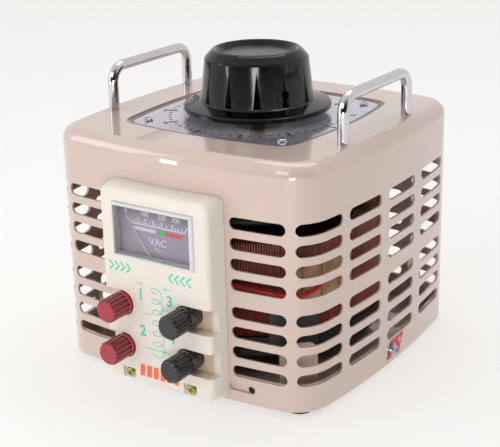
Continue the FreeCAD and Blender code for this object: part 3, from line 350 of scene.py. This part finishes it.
NODE_MATERIALS = {
    "cover": "enamel", "base_pan": "enamel", "corner_brackets": "enamel", "rubber_feet": "rubber",
    "foot_screws": "zinc", "dial_plate": "plate", "dial_plate_screws": "zinc",
    "handle_left": "chrome", "handle_right": "chrome", "handle_washers": "zinc",
    "handle_screws": "zinc", "ground_screw": "zinc", "ground_washer": "zinc",
    "ground_label": "label_red", "cover_screws": "black_matte", "knob": "black_gloss",
    "knob_top_disc": "grey_disc", "knob_sleeve": "brass", "knob_set_screw": "steel", "shaft": "steel",
    "toroid_core": "core", "core_insulation": "tape", "base_disc": "black_matte",
    "base_standoffs": "steel", "top_clamp": "black_matte", "tie_bolts": "zinc", "tie_nuts": "zinc",
    "stop_pin": "steel", "lower_bush": "brass", "upper_bush": "brass", "brush_rotor": "black_matte",
    "brush_holder": "brass", "carbon_brush": "carbon", "brush_spring": "steel", "tap_board": "board",
    "insulation_sheet": "grey_sheet", "output_lead": "red_lead", "input_lead": "red_lead",
    "common_lead": "black_lead", "front_panel": "panel", "panel_screws": "yellow_zinc",
    "meter_window": "clear", "meter_case": "beige_plastic", "meter_dial": "card",
    "meter_movement": "black_matte", "meter_needle": "needle", "post_collars_input": "red_post",
    "post_collars_output": "black_post", "post_studs": "brass", "post_nuts": "brass",
    "terminal_lugs": "zinc",
}


def dress_nodes():
    """Gives each CAD node its material."""
    for name, node in NODES.items():
        if name.startswith("post_cap_"):
            finish = "red_post" if "input" in name else "black_post"
        elif name.startswith("post_insert_"):
            finish = "brass"
        elif name in NODE_MATERIALS:
            finish = NODE_MATERIALS[name]
        else:
            continue  # the winding, which a piece replaces
        for slot in node.material_slots:
            slot.material = MATERIALS[finish]


# ---------------------------------------------------------------- mesh helpers

def piece(name, verts, faces, finish, body, smooth=True):
    mesh = bpy.data.meshes.new(name)
    mesh.from_pydata([tuple(v) for v in verts], [], faces)
    mesh.materials.append(MATERIALS[finish])
    mesh.polygons.foreach_set("use_smooth", [smooth] * len(mesh.polygons))
    mesh.update()
    item = bpy.data.objects.new(name, mesh)
    bpy.context.scene.collection.objects.link(item)
    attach(item, body)
    return item


class Build:
    """Collects vertices and faces of one piece, in millimetres."""

    def __init__(self):
        self.verts, self.faces = [], []

    def add(self, points, faces):
        start = len(self.verts)
        self.verts += [Vector(p) * MM for p in points]
        self.faces += [[start + i for i in face] for face in faces]

    def slab(self, outline, low, high):
        """A flat prism: the outline's points go through `low` and `high`, which place them."""
        count = len(outline)
        points = [low(*p) for p in outline] + [high(*p) for p in outline]
        faces = [list(range(count))[::-1], list(range(count, 2 * count))]
        faces += [[i, (i + 1) % count, count + (i + 1) % count, count + i] for i in range(count)]
        self.add(points, faces)

    def ribbon(self, line, width, low, high, closed=False):
        """A flat band of constant width along a 2-D line."""
        points = [Vector(p) for p in line]
        count = len(points)
        left, right = [], []
        for i, point in enumerate(points):
            before = points[i - 1] if i or closed else point
            after = points[(i + 1) % count] if i < count - 1 or closed else point
            along = (after - before).normalized()
            side = Vector((-along.y, along.x)) * width / 2
            left.append(point + side)
            right.append(point - side)
        rows = [[low(*p) for p in left], [low(*p) for p in right],
                [high(*p) for p in left], [high(*p) for p in right]]
        faces = []
        last = count if closed else count - 1
        for i in range(last):
            j = (i + 1) % count
            a, b, c, e = i, count + i, 2 * count + i, 3 * count + i
            a2, b2, c2, e2 = j, count + j, 2 * count + j, 3 * count + j
            faces += [[a, a2, b2, b], [c, e, e2, c2], [a, c, c2, a2], [b, b2, e2, e]]
        if not closed:
            end = count - 1
            faces += [[0, count, 3 * count, 2 * count],
                      [end, 2 * count + end, 3 * count + end, count + end]]
        self.add([p for row in rows for p in row], faces)

    def tube(self, line, radius, sides=8, closed=False):
        """A round bar along a 3-D line; `radius` is one number, or one for each point."""
        points = [Vector(p) for p in line]
        count = len(points)
        rings = []
        normal = None
        for i, point in enumerate(points):
            before = points[i - 1] if i or closed else point
            after = points[(i + 1) % count] if i < count - 1 or closed else point
            along = (after - before).normalized()
            if normal is None:
                guess = Vector((0, 0, 1)) if abs(along.z) < 0.9 else Vector((1, 0, 0))
                normal = along.cross(guess).normalized()
            normal = (normal - along * normal.dot(along)).normalized()
            other = along.cross(normal)
            r = radius[i] if isinstance(radius, (list, tuple)) else radius
            rings.append([point + normal * (r * math.cos(2 * math.pi * k / sides))
                          + other * (r * math.sin(2 * math.pi * k / sides)) for k in range(sides)])
        faces = []
        last = count if closed else count - 1
        for i in range(last):
            a, b = i * sides, ((i + 1) % count) * sides
            faces += [[a + k, a + (k + 1) % sides, b + (k + 1) % sides, b + k] for k in range(sides)]
        if not closed:
            faces.append(list(range(sides))[::-1])
            faces.append([(count - 1) * sides + k for k in range(sides)])
        self.add([p for ring in rings for p in ring], faces)

    def make(self, name, finish, body, slot, smooth=True):
        return piece(name, self.verts, self.faces, finish, body, smooth)


def letters(text, size, centre, place, thickness=0.05, turn=0.0, weight=0.012):
    """Outlines of a text as flat closed prisms; `place(x, y, lift)` gives the 3-D point."""
    curve = bpy.data.curves.new("glyphs", "FONT")
    curve.body = text
    curve.size = size
    curve.align_x = "CENTER"
    curve.align_y = "CENTER"
    curve.resolution_u = 3
    curve.offset = weight * size
    holder = bpy.data.objects.new("glyphs", curve)
    bpy.context.scene.collection.objects.link(holder)
    bpy.context.view_layer.update()
    graph = bpy.context.evaluated_depsgraph_get()
    flat = bpy.data.meshes.new_from_object(holder.evaluated_get(graph))
    bpy.data.objects.remove(holder)
    bpy.data.curves.remove(curve)
    work = bmesh.new()
    work.from_mesh(flat)
    bpy.data.meshes.remove(flat)
    bmesh.ops.remove_doubles(work, verts=work.verts, dist=1e-5)
    rise = bmesh.ops.extrude_face_region(work, geom=work.faces[:])
    lifted = {v for v in rise["geom"] if isinstance(v, bmesh.types.BMVert)}
    c, s = math.cos(turn), math.sin(turn)
    points, index = [], {}
    for vert in work.verts:
        x, y = vert.co.x, vert.co.y
        index[vert] = len(points)
        points.append(place(centre[0] + c * x - s * y, centre[1] + s * x + c * y,
                            thickness if vert in lifted else 0.0))
    faces = [[index[v] for v in face.verts] for face in work.faces]
    work.free()
    return points, faces


# ---------------------------------------------------------------- transformer

def winding_turns():
    """The coil: one layer of enamelled wire wound round the ring, each turn its own loop."""
    turns, wire = 318, 0.72
    bore = 36.0
    bared_from, bared_to = 56, 84
    low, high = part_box("winding")
    outer = high.x / MM - wire - 0.05
    base, top = low.z / MM + wire, high.z / MM - wire
    inner = bore + wire + 0.2
    build = Build()
    for i in range(turns):
        angle = 2 * math.pi * i / turns + random.uniform(-0.0006, 0.0006)
        around = Vector((math.cos(angle), math.sin(angle), 0))
        near = inner + 1.5 * (i % 3)
        slip = random.uniform(-0.12, 0.0)
        far = outer + slip
        skew = Vector((-math.sin(angle), math.cos(angle), 0)) * random.uniform(-0.25, 0.25)
        section = [(far, base + 2.2), (far, (base + top) / 2), (far, top - 2.2), (far - 0.7, top - 0.7),
                   (far - 2.4, top), ((near + far) / 2, top), (near + 1.2, top - 0.1), (near, top - 1.4),
                   (near, base + 1.4), (near + 1.2, base + 0.1), ((near + far) / 2, base),
                   (far - 2.4, base), (far - 0.7, base + 0.7)]
        line = [around * r + Vector((0, 0, z)) + skew * ((z - base) / (top - base) - 0.5)
                for r, z in section]
        build.tube(line, wire, 6, closed=True)
    coil = build.make("winding_turns", "wire", "housing", "wire")
    coil.data.materials.append(MATERIALS["bare_copper"])
    for face in coil.data.polygons:
        reach = math.hypot(face.center.x, face.center.y) / MM
        if face.center.z > (top + 0.2) * MM and bared_from < reach < bared_to:
            face.material_index = 1
    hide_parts("winding")


def on_coil(degrees, height, reach):
    """A point at an angle, height and distance from the coil's axis."""
    angle = math.radians(degrees)
    return Vector((reach * math.cos(angle), reach * math.sin(angle), height))


def tap_wires():
    """Thin wires led down over the tap board, with the solder that joins the lead to one."""
    touching, lying, joined = 95.0, 95.9, 96.0  # distances from the axis: just off the turns' outside
    wires, solder = Build(), Build()
    for degrees, start, end in ((-30.0, 60, 99), (-21.5, 60, 84), (-39.0, 70, 99)):
        line = [on_coil(degrees - 0.5, start, touching), on_coil(degrees, start + 4, lying),
                on_coil(degrees + 0.4, (start + end) / 2, lying),
                on_coil(degrees, end - 4, lying - 0.1), on_coil(degrees + 0.3, end, touching - 0.1)]
        wires.tube(line, 0.55, 8)
    rings = 7
    for degrees, height, size in ((-30.2, 77.5, 1.9), (-21.5, 83.5, 1.2), (-39.0, 71.0, 1.1)):
        centre = on_coil(degrees, height, joined)
        line = [centre + Vector((0, 0, (k / (rings - 1) - 0.5) * size * 2.4)) for k in range(rings)]
        widths = [size * (0.25 + 0.75 * math.sin(math.pi * (k + 0.4) / (rings - 0.2)))
                  for k in range(rings)]
        solder.tube(line, widths, 10)
    wires.make("tap_wires", "bare_copper", "housing", "wire")
    solder.make("solder_joints", "solder", "housing", "zinc")


# ---------------------------------------------------------------- prints

def dial_scale():
    """Printed ring of dots, longer marks and numbers on the dial plate."""
    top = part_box("dial_plate")[1].z / MM

    def low(x, y):
        return (x, y, top + 0.02)

    def high(x, y):
        return (x, y, top + 0.07)

    def place(x, y, lift):
        return (x, y, top + 0.02 + lift)

    marks = Build()
    steps, step, per_major = 50, 6.0, 5
    long_mark, short_mark = (61.8, 68.6, 1.25), (64.4, 66.5, 1.0)  # from, to, half width
    number_ring, number_size, number_step = 71.4, 4.4, 25
    for i in range(steps + 1):
        angle = math.radians(SCALE_START - step * i)
        out = Vector((math.cos(angle), math.sin(angle)))
        side = Vector((-out.y, out.x))
        first, last, half = long_mark if i % per_major == 0 else short_mark
        marks.slab([out * first - side * half, out * last - side * half,
                    out * last + side * half, out * first + side * half], low, high)
    for i in range(steps // per_major + 1):
        angle = math.radians(SCALE_START - step * per_major * i)
        centre = (number_ring * math.cos(angle), number_ring * math.sin(angle))
        points, faces = letters(str(i * number_step), number_size, centre, place, 0.05,
                                angle + math.pi / 2)
        marks.add(points, faces)
    marks.make("dial_marks", "ink_black", "housing", "plate", smooth=False)


def bowed_outline(half, corner, rounding, count=10):
    """Points of a square with outward-bowed sides and rounded corners."""
    sweep = (corner ** 2 + (half - corner) ** 2) / (2 * (half - corner))
    offset = sweep - half
    inner = sweep - rounding
    centre = (math.sqrt(2 * inner ** 2 - offset ** 2) - offset) / 2
    edge = math.asin(centre / inner)
    points = []
    for quarter in range(4):
        turn = Matrix.Rotation(math.pi / 2 * quarter, 2)
        for k in range(count):
            angle = -edge + 2 * edge * k / count
            points.append(turn @ Vector((sweep * math.sin(angle), offset - sweep * math.cos(angle))))
        for k in range(count):
            angle = edge + (math.pi / 2 - 2 * edge) * k / count
            points.append(turn @ Vector((centre + rounding * math.sin(angle),
                                         -centre - rounding * math.cos(angle))))
    return points


def plate_border():
    """Printed band and thin line that follow the plate's outline."""
    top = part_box("dial_plate")[1].z / MM
    bands = (("plate_border", "ink_grey", 75.3, 2.2, 0.02, 0.06),
             ("plate_border_line", "ink_black", 74.1, 0.5, 0.03, 0.08))
    for name, finish, half, width, under, over in bands:
        build = Build()
        outline = bowed_outline(half, half - 6.5, half - 62.5)
        build.ribbon(outline, width, lambda x, y: (x, y, top + under),
                     lambda x, y: (x, y, top + over), closed=True)
        build.make(name, finish, "housing", "plate", smooth=False)


def knob_index():
    """A short white line on the knob's skirt that points at the scale."""
    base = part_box("knob")[0].z / MM
    (near_reach, near_rise), (far_reach, far_rise) = (43, 6.25), (53.2, 4.4)
    half_width, half_depth = 0.8, 0.12
    angle = math.radians(SCALE_START)
    out = Vector((math.cos(angle), math.sin(angle), 0))
    side = Vector((-out.y, out.x, 0)) * half_width
    near = out * near_reach + Vector((0, 0, base + near_rise))
    far = out * far_reach + Vector((0, 0, base + far_rise))
    lift = Vector((0, 0, half_depth))
    build = Build()
    points = [near - side, far - side, far + side, near + side]
    build.add([p - lift for p in points] + [p + lift for p in points],
              [[3, 2, 1, 0], [4, 5, 6, 7], [0, 1, 5, 4], [1, 2, 6, 5], [2, 3, 7, 6], [3, 0, 4, 7]])
    build.make("knob_index", "ink_white", "rotor", "black_plastic", smooth=False)


def meter_scale():
    """Printed scale of the meter: a base line with marks, coloured bars, numbers and the unit."""
    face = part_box("meter_dial")[0].y / MM

    def low(x, y):
        return (x, face - 0.02, y)

    def high(x, y):
        return (x, face - 0.08, y)

    def place(x, y, lift):
        return (x, face - 0.02 - lift, y)

    base_line, minor_top, major_top = 127.0, 129.4, 131.3
    white = Build()
    white.slab([(-23.7, 126.3), (23.5, 126.3), (23.0, 127.3), (-23.2, 127.3)], low, high)
    # Marks fan out: X at the foot, and X at the head of a long mark in that place.
    majors = [(-23.3, -26.6), (-15.1, -17.0), (-9.9, -10.8), (-3.4, -3.9), (3.6, 3.9), (12.0, 13.4),
              (22.9, 25.6)]
    minors = [(-20.5, -22.4), (-17.9, -19.4), (-12.6, -13.4), (-6.8, -7.2), (-1.4, -1.6), (1.2, 1.3),
              (7.6, 8.2), (14.6, 15.8), (17.2, 18.6), (20.0, 21.7)]
    for marks, height, half in ((majors, major_top, 0.55), (minors, minor_top, 0.4)):
        for foot, head in marks:
            head = foot + (head - foot) * (height - base_line) / (major_top - base_line)
            white.slab([(foot - half, base_line), (foot + half, base_line), (head + half, height),
                        (head - half, height)], low, high)
    white.slab([(-20.4, 122.3), (-1.5, 122.3), (-1.5, 124.8), (-21.8, 124.8)], low, high)
    number_height = 134.6
    for text, x, height, size in (("0", -27.2, number_height, 5.0), ("100", -11.0, number_height, 4.6),
                                  ("220", 4.0, number_height, 4.6), ("300", 15.8, number_height, 4.6),
                                  ("VAC", -0.3, 115.6, 7.6)):
        points, faces = letters(text, size, (x, height), place, 0.06)
        white.add(points, faces)
    for start, length, height, swing, steps, width in ((-3.4, 5.8, 110.4, 1.1, 16, 0.55),
                                                       (-32.4, 3.2, 106.6, 0.7, 12, 0.35)):
        wave = [(start + length * k / steps, height + swing * math.sin(2 * math.pi * k / steps))
                for k in range(steps + 1)]
        white.ribbon(wave, width, low, high)
    ring_centre, ring_height, ring_radius = -26.9, 106.6, 1.5
    ring = [(ring_centre + ring_radius * math.cos(k * math.pi / 10),
             ring_height + ring_radius * math.sin(k * math.pi / 10)) for k in range(20)]
    white.ribbon(ring, 0.35, low, high, closed=True)
    white.ribbon([(-24, 105.2), (-20.4, 105.2), (-22.2, 108.4)], 0.35, low, high, closed=True)
    white.make("meter_scale_white", "ink_white", "housing", "card", smooth=False)
    green = Build()
    green.slab([(-0.5, 122.2), (5.9, 122.2), (6.3, 124.7), (-0.5, 124.7)], low, high)
    green.make("meter_bar_green", "ink_green", "housing", "card", smooth=False)
    red = Build()
    red.slab([(6.9, 122.1), (20.3, 122.1), (22.1, 124.7), (7.2, 124.7)], low, high)
    red.make("meter_bar_red", "ink_red", "housing", "card", smooth=False)


def panel_prints():
    """Generic marks on the panel: a coil diagram, numerals, chevrons, arrows and slanted strokes."""
    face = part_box("front_panel")[0].y / MM

    def low(x, y):
        return (x, face - 0.01, y)

    def high(x, y):
        return (x, face - 0.07, y)

    def place(x, y, lift):
        return (x, face - 0.01 - lift, y)

    teal = Build()
    coil_x, coil_top, pitch = 1.2, 84.6, 8.1
    half_width, half_height, per_turn = 4.6, 3.6, 26
    coil = []
    for k in range(165):
        angle = 2 * math.pi * k / per_turn
        coil.append((coil_x - half_width * math.sin(angle),
                     coil_top - pitch * k / per_turn - half_height * math.cos(angle)))
    teal.ribbon(coil, 0.6, low, high)
    teal.ribbon([(-11.5, 37.4), (10.5, 37.4)], 0.7, low, high)
    teal.ribbon([(-11.0, 63.6), (-3.6, 63.6)], 0.5, low, high)
    teal.ribbon([(5.0, 69.5), (11.5, 69.5), (11.5, 65.5)], 0.5, low, high)
    for text, x, height, size in (("1", -12.8, 77.2, 11.5), ("2", -12.6, 49.6, 11.5),
                                  ("3", 12.2, 76.8, 11.0), ("4", 12.8, 48.8, 10.0)):
        points, faces = letters(text, size, (x, height), place, 0.06, weight=0.022)
        teal.add(points, faces)
    chevrons, chevron_gap, chevron_height, chevron_half = 4, 5.0, 94.8, 3.4
    for centre, direction in ((-30.0, 1), (21.5, -1)):
        for k in range(chevrons):
            x = centre + (k - (chevrons - 1) / 2) * chevron_gap
            teal.ribbon([(x - 2.0 * direction, chevron_height + chevron_half),
                         (x + 1.6 * direction, chevron_height),
                         (x - 2.0 * direction, chevron_height - chevron_half)], 1.5, low, high)
    arrow_height, arrow_half, barb = 85.6, 3, 1.4
    for x, direction in ((-14.2, 1), (10.4, -1)):
        teal.ribbon([(x - arrow_half, arrow_height), (x + arrow_half, arrow_height)], 0.45, low, high)
        teal.ribbon([(x + 1.2 * direction, arrow_height + barb),
                     (x + arrow_half * direction, arrow_height),
                     (x + 1.2 * direction, arrow_height - barb)], 0.45, low, high)
    teal.make("panel_print", "ink_teal", "housing", "cream_plastic", smooth=False)
    bar = Build()
    strokes, first_stroke, stroke_gap = 6, -16.4, 6.0
    stroke_foot, stroke_head, slant, width = 14.4, 23.6, 0.9, 4.2
    for k in range(strokes):
        x = first_stroke + stroke_gap * k
        bar.slab([(x - slant, stroke_foot), (x - slant + width, stroke_foot), (x + width, stroke_head),
                  (x, stroke_head)], low, high)
    bar.make("panel_bar", "ink_orange", "housing", "cream_plastic", smooth=False)


def ground_mark():
    """Earth symbol on the small label beside the earth screw."""
    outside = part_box("ground_label")[1].x / MM

    def low(x, y):
        return (outside - 0.02, x, y)

    def high(x, y):
        return (outside + 0.06, x, y)

    centre, stem_top, first_bar, bar_gap, width = 9.6, 21.0, 18.2, 1.1, 0.5
    build = Build()
    build.ribbon([(centre, stem_top), (centre, first_bar)], width, low, high)
    for k, half in enumerate((2.4, 1.6, 0.8)):
        level = first_bar - bar_gap * k
        build.ribbon([(centre - half, level), (centre + half, level)], width, low, high)
    build.make("ground_mark", "ink_white", "housing", "label_red", smooth=False)


# ---------------------------------------------------------------- stage

WARM_WHITE = (1.0, 0.985, 0.97, 1.0)

def camera():
    """The photograph's viewpoint: turn round Z, tilt down and roll, all in degrees."""
    turn, tilt, roll = math.radians(34.269), math.radians(18.782), math.radians(-1.411)
    data = bpy.data.cameras.new("camera")
    data.sensor_width = 36
    data.lens = 87.77
    data.shift_x, data.shift_y = 0.00486, -0.03524
    data.clip_start, data.clip_end = 0.01, 50
    forward = Vector((-math.sin(turn) * math.cos(tilt), math.cos(turn) * math.cos(tilt), -math.sin(tilt)))
    right = Vector((math.cos(turn), math.sin(turn), 0))
    up = right.cross(forward)
    side = right * math.cos(roll) + up * math.sin(roll)
    top = -right * math.sin(roll) + up * math.cos(roll)
    item = bpy.data.objects.new("camera", data)
    bpy.context.scene.collection.objects.link(item)
    matrix = Matrix((side, top, -forward)).transposed().to_4x4()
    matrix.translation = Vector((0.4900, -0.7357, 0.40619))
    item.matrix_world = matrix
    bpy.context.scene.camera = item


def softbox(name, place, aim_height, size, power):
    """A soft rectangular lamp that shines at a point on the knob's axis."""
    data = bpy.data.lights.new(name, "AREA")
    data.shape = "RECTANGLE"
    data.size, data.size_y = size
    data.energy = power
    item = bpy.data.objects.new(name, data)
    bpy.context.scene.collection.objects.link(item)
    item.visible_camera = False
    item.location = place
    toward = Vector((0, 0, aim_height)) - Vector(place)
    item.rotation_euler = toward.to_track_quat("-Z", "Y").to_euler()


def surroundings():
    """A pale studio: bright behind and above the object, dark on the camera's side."""
    world = bpy.data.worlds.new("world")
    bpy.context.scene.world = world
    world.use_nodes = True
    tree = world.node_tree
    where = tree.nodes.new("ShaderNodeTexCoord")
    toward = tree.nodes.new("ShaderNodeVectorMath")
    toward.operation = "DOT_PRODUCT"
    toward.inputs[1].default_value = (0.55, -0.82, -0.25)
    tree.links.new(where.outputs["Generated"], toward.inputs[0])
    fade = tree.nodes.new("ShaderNodeMapRange")
    fade.interpolation_type = "SMOOTHSTEP"
    for socket, value in (("From Min", -0.1), ("From Max", 0.75), ("To Min", 0.8), ("To Max", 0.03)):
        fade.inputs[socket].default_value = value
    tree.links.new(toward.outputs["Value"], fade.inputs["Value"])
    back = tree.nodes["Background"]
    back.inputs["Color"].default_value = WARM_WHITE
    tree.links.new(fade.outputs["Result"], back.inputs["Strength"])


def lay_floor():
    """A plain pale floor that glows a little, so that it fades into the surroundings."""
    reach = 12.0
    mesh = bpy.data.meshes.new("floor")
    mesh.from_pydata([(-reach, -reach, 0), (reach, -reach, 0), (reach, reach, 0), (-reach, reach, 0)],
                     [], [[0, 1, 2, 3]])
    shader = Shader("floor", linear(160, 159, 158), 0.9, Specular_IOR_Level=0.1, Emission_Strength=0.6,
                    Emission_Color=WARM_WHITE)
    shader.mottle(0.01, 3).grain(0.03, 40).bump(0.02, 300)
    mesh.materials.append(shader.material)
    floor = bpy.data.objects.new("floor", mesh)
    bpy.context.scene.collection.objects.link(floor)


def stage():
    """Floor, surroundings and lamps; places and sizes in metres, power in watts."""
    lay_floor()
    surroundings()
    softbox("key", (0.0, -1.5, 1.2), 0.12, (0.9, 0.7), 6.5)
    softbox("front", (0.56, -0.98, 0.1), 0.2, (0.26, 0.34), 4.2)
    softbox("strip", (-0.62, -0.98, 0.12), 0.2, (0.07, 0.5), 1.0)
    softbox("left", (-1.3, -1.0, 0.8), 0.12, (0.7, 0.9), 4.5)
    softbox("right", (1.3, 0.2, 0.6), 0.12, (0.1, 0.9), 0.4)
    softbox("top", (-0.1, 0.5, 1.7), 0.1, (1.4, 0.9), 7.5)
    bpy.context.scene.view_settings.view_transform = "Standard"
    bpy.context.scene.view_settings.look = "None"


def main():
    camera()
    dress_nodes()
    winding_turns()
    tap_wires()
    dial_scale()
    plate_border()
    knob_index()
    meter_scale()
    panel_prints()
    ground_mark()
    stage()


main()
